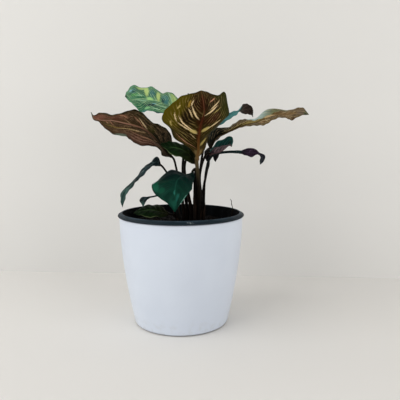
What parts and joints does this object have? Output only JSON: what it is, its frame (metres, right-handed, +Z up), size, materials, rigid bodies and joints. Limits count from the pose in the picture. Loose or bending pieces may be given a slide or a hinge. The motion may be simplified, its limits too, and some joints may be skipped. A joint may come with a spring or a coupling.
{
  "type": "potted calathea",
  "caption": "Peacock-leaved calathea in a dark nursery pot that drops into a white round planter, for a shelf or table.",
  "frame": {"origin": "middle of the planter's flat foot, on the surface that it stands on", "axes": "+Z up along the pot's axis, -Y towards the front, +X to the right as seen from the front"},
  "size_m": [0.2157, 0.13, 0.2505],
  "materials": {
    "planter_white": "smooth white, soft gloss",
    "nursery_pot_dark": "dark blue-grey moulded plastic, satin",
    "potting_mix": "loose dark crumbly peat and bark, matt",
    "leaf_olive": "golden olive underside with cream veins, satin",
    "leaf_maroon": "maroon underside with cream streaks, satin",
    "leaf_pale": "pale green face with dark ovals, satin",
    "leaf_gold": "golden brown underside, satin",
    "leaf_green": "deep teal green face, satin",
    "leaf_purple": "dark purple underside, satin",
    "stalk_light": "light brown, faintly ribbed",
    "stalk_dark": "near-black brown, faintly ribbed",
    "dry_stalk": "dry, matt"
  },
  "bodies": {
    "root": {"outer_pot": "planter_white", "inner_pot": "nursery_pot_dark", "soil": "potting_mix", "blade_centre": "leaf_olive", "stalk_centre": "stalk_light", "blade_left": "leaf_maroon", "stalk_left": "stalk_dark", "blade_back_left": "leaf_pale", "stalk_back_left": "stalk_dark", "blade_long_right": "leaf_gold", "stalk_long_right": "stalk_dark", "blade_back_right": "leaf_green", "stalk_back_right": "stalk_dark", "blade_back_centre": "leaf_green", "stalk_back_centre": "stalk_dark", "blade_folded_right": "leaf_purple", "stalk_folded_right": "stalk_dark", "blade_rolled_right": "leaf_purple", "stalk_rolled_right": "stalk_dark", "blade_shade_near": "leaf_purple", "stalk_shade_near": "stalk_dark", "blade_shade_far": "leaf_purple", "stalk_shade_far": "stalk_dark", "blade_under_left": "leaf_green", "stalk_under_left": "stalk_dark", "blade_front_hanging": "leaf_green", "stalk_front_hanging": "stalk_dark", "blade_drooping_left": "leaf_purple", "stalk_drooping_left": "stalk_dark", "blade_small_left": "leaf_purple", "stalk_small_left": "stalk_dark", "blade_low_left": "leaf_green", "stalk_low_left": "stalk_dark", "dry_sprig": "dry_stalk"}
  },
  "joints": []
}
